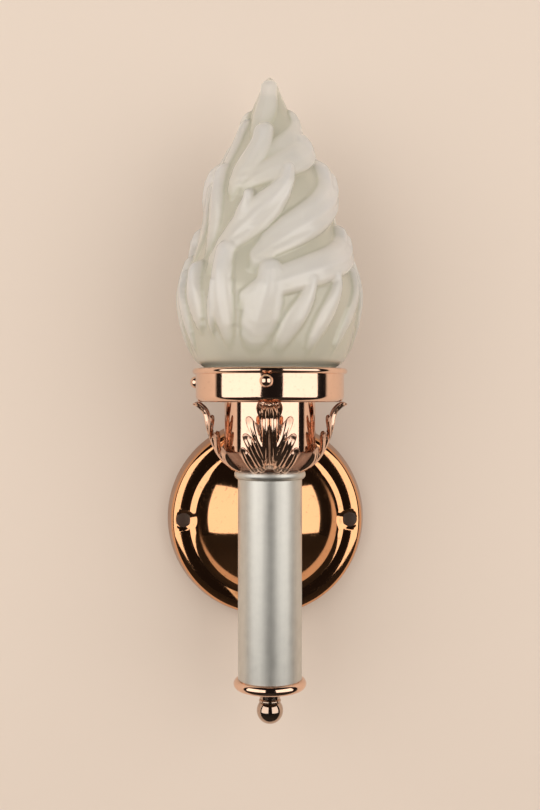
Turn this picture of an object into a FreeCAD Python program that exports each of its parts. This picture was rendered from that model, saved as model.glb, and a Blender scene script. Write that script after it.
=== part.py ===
import FreeCAD, Part
import math
import os
import types

import Mesh
import Sketcher
from FreeCAD import Placement, Rotation, Vector

# A torch sconce. The wall is the plane Y = 0 and the light stands out along -Y, with +Z up. The canopy's
# centre on the wall is the origin, and the torch stands on a vertical axis in front of it. Sizes are in
# millimetres and angles in degrees.

SIZES = {
    # canopy, a stamped dish: depths are counted from the wall
    "canopy_radius": 63.5,
    "canopy_wall": 1.0,
    "canopy_side_radius": 59.9,
    "canopy_side_depth": 17.2,
    "canopy_corner": 6.5,
    "canopy_ring_radius": 43.0,
    "canopy_valley": 5.5,
    "canopy_dome_radius": 55.0,
    "canopy_depth": 38.8,
    "crown_radius": 9.0,
    "screw_hole_inset": 6.9,
    "screw_hole_radius": 4.5,
    "dimple_radius": 5.6,
    "dimple_depth": 0.4,
    # threaded pipes with their nuts and washers
    "pipe_radius": 5.0,
    "pipe_bore": 3.2,
    "pipe_gap": 0.1,
    "nut_flat": 7.9,
    "nut_height": 4.0,
    "washer_radius": 8.2,
    "washer_height": 1.2,
    "lock_washer_radius": 6.9,
    "lock_washer_height": 1.2,
    "pipe_past_nut": 3.2,
    # stem: the arm is at height 0, and the saddle's reach is from the crown to the torch axis
    "saddle_reach": 22.2,
    "tube_radius": 19.05,
    "tube_wall": 1.2,
    "tube_above": 34.9,
    "tube_below": 91.0,
    "bead_radius": 21.2,
    "bead_height": 5.7,
    "saddle_radius": 8.8,
    "hub_radius": 12.0,
    "hub_height": 24.0,
    "hub_boss_radius": 8.5,
    "hub_thread_depth": 8.0,
    "hub_side_depth": 6.0,
    # bottom cap and finial
    "cap_radius": 21.75,
    "cap_height": 6.3,
    "cap_recess": 1.6,
    "neck_radius": 6.1,
    "neck_height": 6.0,
    "neck_groove_radius": 5.8,
    "neck_bead_radius": 6.6,
    "neck_bead_height": 2.2,
    "ball_radius": 7.9,
    "ball_flat_radius": 6.2,
    "ball_thread_depth": 4.0,
    # leaf cup: a bowl, its throat and the flared tips
    "cup_wall": 0.9,
    "cup_base_radius": 19.6,
    "cup_bowl_radius": 31.6,
    "cup_bowl_height": 13.4,
    "cup_bowl_curve": 30.0,
    "cup_throat_radius": 36.6,
    "cup_throat_height": 28.6,
    "cup_side_curve": 60.0,
    "cup_tip_radius": 45.2,
    "cup_height": 40.4,
    "cup_flare_curve": 12.5,
    # cylinder that stands in the cup
    "socket_cup_radius": 27.1,
    "socket_cup_wall": 1.2,
    "socket_cup_seat": 8.2,
    "socket_cup_height": 32.1,
    "socket_cup_corner": 1.0,
    # shade holder
    "holder_radius": 44.1,
    "holder_wall": 1.0,
    "holder_floor_radius": 41.2,
    "holder_corner_height": 3.6,
    "holder_height": 19.8,
    "holder_rim_radius": 46.1,
    "holder_rim_height": 3.6,
    "holder_rim_swell": 1.7,
    "holder_hole_radius": 22.0,
    # thumb screws: distances are counted from the torch axis, and angles from the front
    "screw_height": 11.8,
    "screw_shank_radius": 2.1,
    "screw_fit": 0.06,
    "screw_tip_distance": 41.5,
    "screw_ball_radius": 3.75,
    "screw_ball_distance": 50.1,
    "screw_collar_radius": 2.8,
    "screw_collar_length": 1.0,
    "front_screw_angle": 5.0,
    "left_screw_angle": 118.0,
    "right_screw_angle": 128.0,
    # lampholder
    "socket_cap_radius": 16.0,
    "socket_cap_height": 9.5,
    "socket_cap_neck_radius": 8.0,
    "socket_cap_neck_height": 3.0,
    "socket_radius": 18.5,
    "socket_height": 36.0,
    "socket_floor": 7.0,
    "shell_wall": 0.4,
    "contact_radius": 3.0,
    "contact_height": 2.4,
    "terminal_radius": 3.4,
    "terminal_length": 2.2,
    # lamp
    "lamp_cap_radius": 13.1,
    "lamp_cap_height": 25.0,
    "lamp_cap_fit": 0.1,
    "lamp_contact_radius": 4.8,
    "lamp_contact_height": 1.6,
    "lamp_neck_radius": 11.8,
    "lamp_neck_height": 16.0,
    "lamp_glass_radius": 24.0,
    "lamp_glass_wall": 0.8,
    # flame glass
    "seat_gap": 0.3,
    "glass_lip_radius": 41.0,
    "glass_lip_height": 3.5,
    "glass_neck_radius": 39.2,
    "glass_neck_height": 19.3,
    "glass_wall": 3.2,
    "flame_height": 171.7,
    "flame_radius": 51.6,
}

doc = FreeCAD.newDocument("torch_sconce")
sheet = doc.addObject("Spreadsheet::Sheet", "Sizes")
for row, (alias, number) in enumerate(SIZES.items(), start=1):
    sheet.set(f"A{row}", alias)
    sheet.set(f"B{row}", str(number))
    sheet.setAlias(f"B{row}", alias)
doc.recompute()


class Size:
    """A length worked out from the sheet: the text that a bound property reads, and its value now."""

    def __init__(self, text, value):
        self.text = text
        self.value = value

    def __add__(self, other):
        other = as_size(other)
        return Size(f"({self.text} + {other.text})", self.value + other.value)

    def __sub__(self, other):
        other = as_size(other)
        return Size(f"({self.text} - {other.text})", self.value - other.value)

    def __mul__(self, other):
        other = as_size(other)
        return Size(f"({self.text} * {other.text})", self.value * other.value)

    def __truediv__(self, other):
        other = as_size(other)
        return Size(f"({self.text} / {other.text})", self.value / other.value)

    def __neg__(self):
        return Size(f"(-1 * {self.text})", -self.value)

    def root(self):
        return Size(f"sqrt({self.text})", math.sqrt(self.value))


def as_size(number):
    return number if isinstance(number, Size) else Size(repr(float(number)), float(number))


def leg(long_side, other_side):
    """The third side of a right triangle."""
    return (long_side * long_side - other_side * other_side).root()


def swell(chord, rise):
    """The radius of an arc that rises this far over this chord."""
    return (chord * chord / 4 + rise * rise) / (rise * 2)


S = types.SimpleNamespace(**{alias: Size(f"Sizes.{alias}", sheet.get(alias)) for alias in SIZES})
ZERO = as_size(0)
stem_projection = S.canopy_depth + S.saddle_reach
PARTS = []


def bind(thing, name, size):
    thing.setExpression(name, as_size(size).text)


def keep(thing, lift=ZERO, on_wall=False, turn=0):
    """Stands a piece on the torch axis at a height, or on the canopy's axis at a depth, and lists it."""
    if on_wall:
        thing.Placement = Placement(Vector(), Rotation(Vector(1, 0, 0), 90))
        bind(thing, "Placement.Base.y", -lift)
    else:
        thing.Placement = Placement(Vector(), Rotation(Vector(0, 0, 1), turn))
        bind(thing, "Placement.Base.y", -stem_projection)
        bind(thing, "Placement.Base.z", lift)
    PARTS.append(thing)


def origin_plane(body, role):
    return next(plane for plane in body.Origin.OriginFeatures if plane.Role == role)


def new_sketch(body, name, role="XZ_Plane"):
    sketch = body.newObject("Sketcher::SketchObject", name)
    sketch.AttachmentSupport = [(origin_plane(body, role), "")]
    sketch.MapMode = "FlatFace"
    return sketch


def hold(sketch, geometry, end, x, y):
    """Fixes one end of a line, or the centre of a circle, at a point of the sketch."""
    for kind, axis, size in (("DistanceX", -2, x), ("DistanceY", -1, y)):
        if size.value == 0:
            sketch.addConstraint(Sketcher.Constraint("PointOnObject", geometry, end, axis))
        else:
            rule = Sketcher.Constraint(kind, -1, 1, geometry, end, size.value)
            bind(sketch, f"Constraints[{sketch.addConstraint(rule)}]", size)


def hold_radius(sketch, geometry, radius):
    rule = sketch.addConstraint(Sketcher.Constraint("Radius", geometry, radius.value))
    bind(sketch, f"Constraints[{rule}]", radius)


def arc_between(start, end, radius):
    """The short arc from start to end. It turns left where the radius is positive, and right otherwise."""
    chord = end - start
    reach = math.sqrt(radius * radius - chord.Length**2 / 4)
    centre = start + chord / 2 + Vector(-chord.y, chord.x, 0).normalize() * math.copysign(reach, radius)
    first, last = (start, end) if radius > 0 else (end, start)
    begin = math.atan2(first.y - centre.y, first.x - centre.x)
    sweep = (math.atan2(last.y - centre.y, last.x - centre.x) - begin) % (2 * math.pi)
    return Part.ArcOfCircle(Part.Circle(centre, Vector(0, 0, 1), abs(radius)), begin, begin + sweep)


def draw(sketch, outline):
    """Draws a closed outline of corners (x, y). A corner (x, y, radius) ends an arc from the one before."""
    corners = [tuple(as_size(size) for size in corner) for corner in outline]
    points = [Vector(corner[0].value, corner[1].value, 0) for corner in corners]
    ends = []
    for at, corner in enumerate(corners):
        if len(corner) == 2:
            index = sketch.addGeometry(Part.LineSegment(points[at - 1], points[at]))
            ends.append((index, 1, 2))
            continue
        radius = corner[2]
        index = sketch.addGeometry(arc_between(points[at - 1], points[at], radius.value))
        left = radius.value > 0
        ends.append((index, 1, 2) if left else (index, 2, 1))
        hold_radius(sketch, index, radius if left else -radius)
    for at, (index, _, last) in enumerate(ends):
        following, first, _ = ends[(at + 1) % len(ends)]
        sketch.addConstraint(Sketcher.Constraint("Coincident", index, last, following, first))
        hold(sketch, index, last, corners[at][0], corners[at][1])


def turned(label, outline):
    """A body turned about its own Z axis from an outline of (radius, height) corners."""
    body = doc.addObject("PartDesign::Body", label)
    sketch = new_sketch(body, f"{label}_outline")
    draw(sketch, outline)
    turn = body.newObject("PartDesign::Revolution", f"{label}_turned")
    turn.Profile = sketch
    turn.ReferenceAxis = (sketch, ["V_Axis"])
    turn.Angle = 360
    body.Tip = turn
    doc.recompute()
    return body


def ring(label, bore, radius, height):
    """A washer, pipe or spacer with square edges."""
    return turned(label, [(bore, 0), (radius, 0), (radius, height), (bore, height)])


def pocket(body, sketch, name, backwards=False):
    """Cuts a sketch right through the body on one side of the sketch's plane."""
    before = body.Shape.Volume
    cut = body.newObject("PartDesign::Pocket", name)
    cut.Profile = sketch
    cut.Type = "ThroughAll"
    cut.Reversed = backwards
    body.Tip = cut
    doc.recompute()
    if not body.Shape.Volume < before:
        raise ValueError(f"{name} cuts nothing")
    return cut


def round_hole(body, name, x, y, radius, role="XZ_Plane", backwards=False):
    sketch = new_sketch(body, f"{name}_outline", role)
    index = sketch.addGeometry(Part.Circle(Vector(x.value, y.value, 0), Vector(0, 0, 1), radius.value))
    hold(sketch, index, 3, x, y)
    hold_radius(sketch, index, radius)
    return pocket(body, sketch, name, backwards)


def round_edges(body, name, radius, edge_radius, height):
    """Rounds the circular edge of a turned body that has this radius and height on the body's own axis."""
    base = body.Tip
    fillet = body.newObject("PartDesign::Fillet", name)
    names = [
        f"Edge{number}"
        for number, edge in enumerate(base.Shape.Edges, start=1)
        if isinstance(edge.Curve, Part.Circle)
        and abs(edge.Curve.Radius - as_size(edge_radius).value) < 0.01
        and abs(edge.Curve.Center.z - as_size(height).value) < 0.01
    ]
    fillet.Base = (base, names)
    bind(fillet, "Radius", radius)
    body.Tip = fillet
    doc.recompute()


def cylinder(name, radius, height, lift=ZERO, along_y=False):
    """A cylinder on the piece's own axis from a height up, or from a height's axis point along +Y."""
    thing = doc.addObject("Part::Cylinder", name)
    bind(thing, "Radius", radius)
    bind(thing, "Height", height)
    if along_y:
        thing.Placement = Placement(Vector(), Rotation(Vector(1, 0, 0), -90))
        bind(thing, "Placement.Base.y", lift)
    else:
        bind(thing, "Placement.Base.z", lift)
    return thing


def combined(kind, label, base, tool):
    thing = doc.addObject(f"Part::{kind}", label)
    thing.Base = base
    thing.Tool = tool
    doc.recompute()
    return thing


def fused(label, shapes):
    thing = doc.addObject("Part::MultiFuse", label)
    thing.Shapes = shapes
    doc.recompute()
    return thing


def hex_nut(label):
    """A hexagon nut for the threaded pipe."""
    hexagon = doc.addObject("Part::Prism", f"{label}_hexagon")
    hexagon.Polygon = 6
    bind(hexagon, "Circumradius", S.nut_flat / math.cos(math.pi / 6))
    bind(hexagon, "Height", S.nut_height)
    return combined("Cut", label, hexagon, cylinder(f"{label}_hole", pipe_hole, S.nut_height))


# Depths from the wall, and heights on the torch axis. Each piece stands on the one before.
pipe_hole = S.pipe_radius + S.pipe_gap
crown_inside = S.canopy_depth - S.canopy_wall
washer_depth = crown_inside - S.washer_height
lock_washer_depth = washer_depth - S.lock_washer_height
canopy_nut_depth = lock_washer_depth - S.nut_height
tube_bore = S.tube_radius - S.tube_wall
tube_length = S.tube_above + S.tube_below
cap_bottom = S.cap_recess - S.cap_height - S.tube_below
neck_bottom = cap_bottom - S.neck_height - S.neck_bead_height
ball_top = leg(S.ball_radius, S.ball_flat_radius)
cup_nut_bottom = S.tube_above + S.cup_wall
cup_nut_top = cup_nut_bottom + S.nut_height
socket_cup_bottom = S.tube_above + S.socket_cup_seat
socket_nut_bottom = socket_cup_bottom + S.socket_cup_wall
socket_cap_bottom = socket_nut_bottom + S.nut_height
socket_bottom = socket_cap_bottom + S.socket_cap_height
holder_bottom = socket_cup_bottom + S.socket_cup_height
glass_bottom = holder_bottom + S.holder_wall + S.seat_gap
shell_radius = S.lamp_cap_radius + S.lamp_cap_fit
shell_bottom = socket_bottom + S.socket_floor
lamp_contact_bottom = shell_bottom + S.contact_height + S.seat_gap
lamp_cap_bottom = lamp_contact_bottom + S.lamp_contact_height
lamp_glass_bottom = lamp_cap_bottom + S.lamp_cap_height

# Canopy: a sloping side, a rounded corner, a ring that rises a little, a valley and a domed middle with a
# flat crown, all of one sheet. Its back is open.
dome_centre = S.canopy_depth - leg(S.canopy_dome_radius, S.crown_radius)
dome_foot = dome_centre + leg(S.canopy_dome_radius, S.canopy_ring_radius)
inner_dome = S.canopy_dome_radius - S.canopy_wall
inner_ring = S.canopy_ring_radius - S.canopy_wall
inner_foot = crown_inside - leg(inner_dome, S.crown_radius) + leg(inner_dome, inner_ring)
inner_side = S.canopy_side_radius - S.canopy_wall
inner_corner = S.canopy_side_depth - S.canopy_wall
canopy = turned(
    "canopy",
    [
        (S.canopy_radius - S.canopy_wall, 0),
        (S.canopy_radius, 0),
        (S.canopy_side_radius, S.canopy_side_depth),
        (S.canopy_ring_radius, dome_foot),
        (S.crown_radius, S.canopy_depth, S.canopy_dome_radius),
        (pipe_hole, S.canopy_depth),
        (pipe_hole, crown_inside),
        (S.crown_radius, crown_inside),
        (inner_ring, inner_foot, -inner_dome),
        (inner_side, inner_corner),
    ],
)
round_edges(canopy, "canopy_corner", S.canopy_corner, S.canopy_side_radius, S.canopy_side_depth)
round_edges(canopy, "canopy_inner_corner", S.canopy_corner - S.canopy_wall, inner_side, inner_corner)
round_edges(canopy, "canopy_valley", S.canopy_valley, S.canopy_ring_radius, dome_foot)
round_edges(canopy, "canopy_inner_valley", S.canopy_valley + S.canopy_wall, inner_ring, inner_foot)

# Two screw holes, left and right, each with a shallow dimple round it.
screw_hole_x = S.canopy_side_radius - S.screw_hole_inset
ring_fall = (dome_foot - S.canopy_side_depth) / (S.canopy_side_radius - S.canopy_ring_radius)
depth_at_hole = S.canopy_side_depth + (S.canopy_side_radius - screw_hole_x) * ring_fall
for side, hole_x in (("left", -screw_hole_x), ("right", screw_hole_x)):
    round_hole(canopy, f"{side}_screw_hole", hole_x, ZERO, S.screw_hole_radius, "XY_Plane", True)
    dimple = canopy.newObject("PartDesign::SubtractiveCone", f"{side}_dimple")
    dimple.AttachmentSupport = [(origin_plane(canopy, "XY_Plane"), "")]
    dimple.MapMode = "FlatFace"
    bind(dimple, "AttachmentOffset.Base.x", hole_x)
    bind(dimple, "AttachmentOffset.Base.z", depth_at_hole - S.dimple_depth)
    bind(dimple, "Radius1", S.screw_hole_radius)
    bind(dimple, "Radius2", S.dimple_radius)
    bind(dimple, "Height", S.dimple_depth * 2)
    canopy.Tip = dimple
    doc.recompute()
keep(canopy, ZERO, True)

# The arm pipe through the crown, with its washers and nut behind the dome.
arm_back = canopy_nut_depth - S.pipe_past_nut
arm_front = stem_projection - S.hub_radius + S.hub_side_depth
keep(ring("canopy_washer", pipe_hole, S.washer_radius, S.washer_height), washer_depth, True)
keep(ring("canopy_lock_washer", pipe_hole, S.lock_washer_radius, S.lock_washer_height), lock_washer_depth, True)
keep(hex_nut("canopy_nut"), canopy_nut_depth, True)
keep(ring("arm_nipple", S.pipe_bore, S.pipe_radius, arm_front - arm_back), arm_back, True)

# Saddle: a short spacer on the crown whose front is hollowed to the stem's round.
saddle_length = S.saddle_radius * 4
saddle_stem = cylinder("saddle_stem", S.tube_radius + S.pipe_gap, saddle_length, -saddle_length / 2, True)
bind(saddle_stem, "Placement.Base.z", S.saddle_reach)
saddle_blank = cylinder("saddle_blank", S.saddle_radius, S.saddle_reach)
saddle_cuts = fused("saddle_cuts", [saddle_stem, cylinder("saddle_hole", pipe_hole, S.saddle_reach)])
keep(combined("Cut", "arm_saddle", saddle_blank, saddle_cuts), S.canopy_depth, True)

# Stem: a plain tube with a half-round bead rolled at its top, which is spun in to a flange.
tube = turned(
    "torch_tube",
    [
        (tube_bore, 0),
        (S.tube_radius, 0),
        (S.tube_radius, tube_length - S.bead_height),
        (S.tube_radius, tube_length, swell(S.bead_height, S.bead_radius - S.tube_radius)),
        (pipe_hole, tube_length),
        (pipe_hole, tube_length - S.tube_wall),
        (tube_bore, tube_length - S.tube_wall),
    ],
)
round_hole(tube, "arm_hole", ZERO, S.tube_below, pipe_hole)
keep(tube, -S.tube_below)

# Hub inside the stem: the arm enters a boss at its back, and the upper and lower pipes its two ends.
hub_end = S.hub_height / 2
thread_start = hub_end - S.hub_thread_depth
hub_column = cylinder("hub_column", S.hub_radius, S.hub_height, -hub_end)
hub_boss = cylinder("hub_boss", S.hub_boss_radius, tube_bore, ZERO, True)
stem_inside = cylinder("stem_inside", tube_bore - S.pipe_gap, S.hub_height, -hub_end)
hub_blank = combined("Common", "hub_blank", fused("hub_cross", [hub_column, hub_boss]), stem_inside)
hub_bores = [
    cylinder("hub_wireway", S.pipe_bore, S.hub_height, -hub_end),
    cylinder("hub_side_wireway", S.pipe_bore, S.hub_radius, ZERO, True),
    cylinder("hub_top_bore", pipe_hole, S.hub_thread_depth, thread_start),
    cylinder("hub_bottom_bore", pipe_hole, S.hub_thread_depth, -hub_end),
    cylinder("hub_side_bore", pipe_hole, tube_bore, S.hub_radius - S.hub_side_depth, True),
]
keep(combined("Cut", "center_hub", hub_blank, fused("hub_bores", hub_bores)))

# Pipes from the hub down into the ball, and up into the lampholder.
lower_end = neck_bottom - S.ball_thread_depth + S.seat_gap
upper_end = socket_bottom - S.socket_cap_neck_height
keep(ring("lower_nipple", S.pipe_bore, S.pipe_radius, -thread_start - lower_end), lower_end)
keep(ring("upper_nipple", S.pipe_bore, S.pipe_radius, upper_end - thread_start), thread_start)

# Bottom cap: a shallow dish with a half-round edge. The stem stands in its recess.
edge_round = S.cap_height / 2
edge_centre = S.cap_radius - edge_round
recess_radius = S.tube_radius + S.pipe_gap
recess_top = edge_round + leg(edge_round, recess_radius - edge_centre)
recess_floor = S.cap_height - S.cap_recess
bottom_cap = turned(
    "bottom_cap",
    [
        (pipe_hole, 0),
        (edge_centre, 0),
        (recess_radius, recess_top, edge_round),
        (recess_radius, recess_floor),
        (pipe_hole, recess_floor),
    ],
)
keep(bottom_cap, cap_bottom)

# Finial: a collar with a bead at its foot, and the ball that is threaded on the pipe.
neck_top = S.neck_bead_height + S.neck_height
neck_bead = swell(S.neck_bead_height, S.neck_bead_radius - S.neck_groove_radius)
finial_neck = turned(
    "finial_neck",
    [
        (pipe_hole, 0),
        (S.neck_groove_radius, 0),
        (S.neck_groove_radius, S.neck_bead_height, neck_bead),
        (S.neck_radius, S.neck_bead_height + S.neck_radius - S.neck_groove_radius),
        (S.neck_radius, neck_top),
        (pipe_hole, neck_top),
    ],
)
keep(finial_neck, neck_bottom)
ball_finial = turned(
    "ball_finial",
    [
        (0, -S.ball_radius),
        (S.ball_flat_radius, ball_top, S.ball_radius),
        (pipe_hole, ball_top),
        (pipe_hole, ball_top - S.ball_thread_depth),
        (0, ball_top - S.ball_thread_depth),
    ],
)
keep(ball_finial, neck_bottom - ball_top)

# Leaf cup: one stamped bell whose upper part is four leaves. The bell is turned and hollowed, then the gap
# between two leaves is cut and repeated. Its own X and Y axes point at the gaps.
leaf_cup = turned(
    "leaf_cup",
    [
        (0, 0),
        (S.cup_base_radius, 0),
        (S.cup_bowl_radius, S.cup_bowl_height, S.cup_bowl_curve),
        (S.cup_throat_radius, S.cup_throat_height, S.cup_side_curve),
        (S.cup_tip_radius, S.cup_height, -S.cup_flare_curve),
        (0, S.cup_height),
    ],
)
bell = leaf_cup.Tip
faces = bell.Shape.Faces
mouth = max(range(len(faces)), key=lambda number: faces[number].CenterOfMass.z)
hollow = leaf_cup.newObject("PartDesign::Thickness", "cup_hollow")
hollow.Base = (bell, [f"Face{mouth + 1}"])
hollow.Reversed = True
bind(hollow, "Value", S.cup_wall)
leaf_cup.Tip = hollow
doc.recompute()
round_hole(leaf_cup, "cup_pipe_hole", ZERO, ZERO, pipe_hole, "XY_Plane", True)

# One side of the gap from its foot up. Each point is a share of the tip radius out from the gap's middle, a
# share of the cup's height up, and for a fingertip the share of the tip radius that its end is rounded by.
GAP_FOOT = (0.0, 0.27)
GAP_SIDE = (
    (0.119, 0.282),
    (0.170, 0.351),
    (0.235, 0.351, -0.036),
    (0.273, 0.272),
    (0.278, 0.554),
    (0.342, 0.579, -0.036),
    (0.378, 0.438),
    (0.346, 0.777),
    (0.413, 0.782, -0.036),
    (0.470, 0.631),
    (0.490, 0.901),
    (0.655, 1.05),
)
bends = [corner[2:] for corner in GAP_SIDE[1:]] + [()]
other_side = [(-corner[0], corner[1], *bend) for corner, bend in zip(GAP_SIDE, bends)]
gap_outline = [
    (S.cup_tip_radius * out, S.cup_height * up, *(S.cup_tip_radius * share for share in bend))
    for out, up, *bend in (GAP_FOOT, *GAP_SIDE, *reversed(other_side))
]
gap_sketch = new_sketch(leaf_cup, "leaf_gap_outline")
draw(gap_sketch, gap_outline)
gap = pocket(leaf_cup, gap_sketch, "leaf_gap")
gaps = leaf_cup.newObject("PartDesign::PolarPattern", "leaf_gaps")
gaps.Originals = [gap]
gaps.Axis = (gap_sketch, ["V_Axis"])
gaps.Angle = 360
gaps.Occurrences = 4
leaf_cup.Tip = gaps
# The front leaf looks forward, but for the little that the cup was turned when it was clamped.
HALF_LEAF_TURN = 45
CUP_TURN = 3
keep(leaf_cup, S.tube_above, turn=HALF_LEAF_TURN - CUP_TURN)

# What clamps the cup on the stem, and the cylinder that stands in it with its own nut.
keep(hex_nut("cup_lock_nut"), cup_nut_bottom)
keep(ring("cup_washer", pipe_hole, S.washer_radius, socket_cup_bottom - cup_nut_top), cup_nut_top)
socket_cup_bore = S.socket_cup_radius - S.socket_cup_wall
socket_cup = turned(
    "socket_cup",
    [
        (pipe_hole, 0),
        (S.socket_cup_radius, 0),
        (S.socket_cup_radius, S.socket_cup_height),
        (socket_cup_bore, S.socket_cup_height),
        (socket_cup_bore, S.socket_cup_wall),
        (pipe_hole, S.socket_cup_wall),
    ],
)
round_edges(socket_cup, "socket_cup_foot", S.socket_cup_corner, S.socket_cup_radius, ZERO)
keep(socket_cup, socket_cup_bottom)
keep(hex_nut("socket_lock_nut"), socket_nut_bottom)


def outward(thing, angle, lift=ZERO):
    """Points a piece's own Z axis away from the torch axis, at this angle from the front."""
    turn = math.radians(angle.value)
    thing.Placement = Placement(Vector(), Rotation(Vector(0, 0, 1), Vector(math.sin(turn), -math.cos(turn), 0)))
    bind(thing, "Placement.Base.z", lift)
    return thing


# Shade holder: a floor on the cylinder's top, a rounded corner, the band and its rolled rim, with a hole
# for each thumb screw.
SCREWS = {"front": -S.front_screw_angle, "left": -S.left_screw_angle, "right": S.right_screw_angle}
holder_bore = S.holder_radius - S.holder_wall
rim_bottom = S.holder_height - S.holder_rim_height
rim_root = S.holder_rim_radius - S.holder_rim_swell
holder_bowl = turned(
    "holder_bowl",
    [
        (S.holder_hole_radius, 0),
        (S.holder_floor_radius, 0),
        (S.holder_radius, S.holder_corner_height, S.holder_corner_height),
        (S.holder_radius, rim_bottom),
        (rim_root, rim_bottom),
        (rim_root, S.holder_height, swell(S.holder_rim_height, S.holder_rim_swell)),
        (holder_bore, S.holder_height),
        (holder_bore, S.holder_corner_height),
        (S.holder_floor_radius, S.holder_wall, -S.holder_corner_height),
        (S.holder_hole_radius, S.holder_wall),
    ],
)
screw_bore = S.screw_shank_radius + S.screw_fit
holes = [
    outward(cylinder(f"screw_bore_{side}", screw_bore, S.holder_rim_radius), angle, S.screw_height)
    for side, angle in SCREWS.items()
]
keep(combined("Cut", "shade_holder", holder_bowl, fused("screw_bores", holes)), holder_bottom)

# Thumb screws: a plain shank, a collar and a ball to turn it by.
ball_foot = S.screw_ball_distance - leg(S.screw_ball_radius, S.screw_collar_radius)
for side, angle in SCREWS.items():
    screw = turned(
        f"thumb_screw_{side}",
        [
            (0, S.screw_tip_distance),
            (S.screw_shank_radius, S.screw_tip_distance),
            (S.screw_shank_radius, ball_foot - S.screw_collar_length),
            (S.screw_collar_radius, ball_foot - S.screw_collar_length),
            (S.screw_collar_radius, ball_foot),
            (0, S.screw_ball_distance + S.screw_ball_radius, S.screw_ball_radius),
        ],
    )
    keep(screw)
    outward(screw, angle, holder_bottom + S.screw_height)

# Lampholder: a cap threaded on the pipe, the porcelain body with its screw shell and centre contact, and
# a terminal screw on either side.
socket_cap = turned(
    "socket_cap",
    [
        (pipe_hole, 0),
        (S.socket_cap_neck_radius, 0),
        (S.socket_cap_neck_radius, S.socket_cap_neck_height),
        (S.socket_cap_radius, S.socket_cap_height, S.socket_cap_radius),
        (pipe_hole, S.socket_cap_height),
    ],
)
keep(socket_cap, socket_cap_bottom)
socket_bore = shell_radius + S.shell_wall + S.pipe_gap
socket_body = turned(
    "socket_body",
    [
        (0, 0),
        (S.socket_radius, 0),
        (S.socket_radius, S.socket_height),
        (socket_bore, S.socket_height),
        (socket_bore, S.socket_floor),
        (0, S.socket_floor),
    ],
)
keep(socket_body, socket_bottom)
shell_height = S.socket_height - S.socket_floor
keep(ring("socket_shell", shell_radius, shell_radius + S.shell_wall, shell_height), shell_bottom)
keep(cylinder("socket_contact", S.contact_radius, S.contact_height), shell_bottom)
for side, quarter_turn in (("left", -90), ("right", 90)):
    terminal = ring(f"terminal_screw_{side}", ZERO, S.terminal_radius, S.terminal_length)
    keep(terminal)
    outward(terminal, as_size(quarter_turn), socket_bottom + S.socket_floor / 2)
    bind(terminal, "Placement.Base.x", S.socket_radius * (quarter_turn / 90))

# Lamp: its centre contact, screw cap and pear-shaped glass, hollow and open into the cap.
keep(cylinder("bulb_contact", S.lamp_contact_radius, S.lamp_contact_height), lamp_contact_bottom)
keep(cylinder("bulb_cap", S.lamp_cap_radius, S.lamp_cap_height), lamp_cap_bottom)
lamp_neck_bore = S.lamp_neck_radius - S.lamp_glass_wall
lamp_bore = S.lamp_glass_radius - S.lamp_glass_wall
lamp_centre = S.lamp_neck_height + leg(S.lamp_glass_radius, S.lamp_neck_radius)
bulb_glass = turned(
    "bulb_glass",
    [
        (lamp_neck_bore, 0),
        (S.lamp_neck_radius, 0),
        (S.lamp_neck_radius, S.lamp_neck_height),
        (0, lamp_centre + S.lamp_glass_radius, S.lamp_glass_radius),
        (0, lamp_centre + lamp_bore),
        (lamp_neck_bore, lamp_centre - leg(lamp_bore, lamp_neck_bore), -lamp_bore),
    ],
)
keep(bulb_glass, lamp_glass_bottom)

# Flame glass, in two solids of one casting. The neck has the lip that stands on the holder's floor.
mouth = S.glass_neck_radius - S.glass_wall
shade_neck = turned(
    "shade_neck",
    [
        (mouth, 0),
        (S.glass_lip_radius, 0),
        (S.glass_lip_radius, S.glass_lip_height),
        (S.glass_neck_radius, S.glass_lip_height),
        (S.glass_neck_radius, S.glass_neck_height),
        (mouth, S.glass_neck_height),
    ],
)
keep(shade_neck, glass_bottom)

# The flame stands on the neck. Its body swells and shrinks to the tip: each pair is a share of its height
# and a share of its largest radius. Tongues of glass climb round it, lean over and end in round lobes.
FLAME_SIDE = (
    (0.000, 0.760),
    (0.009, 0.835),
    (0.071, 0.926),
    (0.141, 0.980),
    (0.210, 1.000),
    (0.316, 0.934),
    (0.432, 0.775),
    (0.549, 0.682),
    (0.636, 0.610),
    (0.706, 0.496),
    (0.764, 0.388),
    (0.857, 0.244),
    (0.933, 0.140),
    (1.000, 0.000),
)
# Each tongue: the angle of its foot from the front and its height as a share, the same of its tip, and its
# half width and rise as shares of the largest radius. There is one of each on the front and on the back.
TONGUES = (
    (-32, 0.07, -25, 0.39, 0.132, 0.116),
    (-70, 0.06, -48, 0.40, 0.124, 0.136),
    (-48, 0.05, -40, 0.33, 0.076, 0.136),
    (-86, 0.02, -76, 0.29, 0.107, 0.097),
    (-12, 0.00, 81, 0.47, 0.205, 0.174),
    (17, 0.01, 50, 0.34, 0.109, 0.087),
    (42, 0.01, 68, 0.35, 0.097, 0.087),
    (-21, 0.09, 56, 0.50, 0.130, 0.116),
    (-14, 0.30, 79, 0.68, 0.184, 0.174),
    (-63, 0.33, -54, 0.68, 0.124, 0.136),
    (-31, 0.30, -22, 0.60, 0.120, 0.116),
    (-56, 0.54, 79, 0.80, 0.163, 0.126),
    (-47, 0.62, 80, 0.89, 0.151, 0.087),
    (-42, 0.72, -8, 0.96, 0.120, 0.068),
)
FACINGS = (0, 180)
PATH_STEPS = 6
LEAN = 1.5
RINGS, INNER_RINGS, RING_POINTS = 40, 10, 60
FOOT_FADE = 0.07
INNER_TOP = 0.90


def body_radius(share):
    """The flame's body without its tongues, at a share of its height."""
    for (low, wide), (high, narrow) in zip(FLAME_SIDE, FLAME_SIDE[1:]):
        if share <= high:
            return S.flame_radius.value * (wide + (narrow - wide) * (share - low) / (high - low))
    return 0.0


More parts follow.
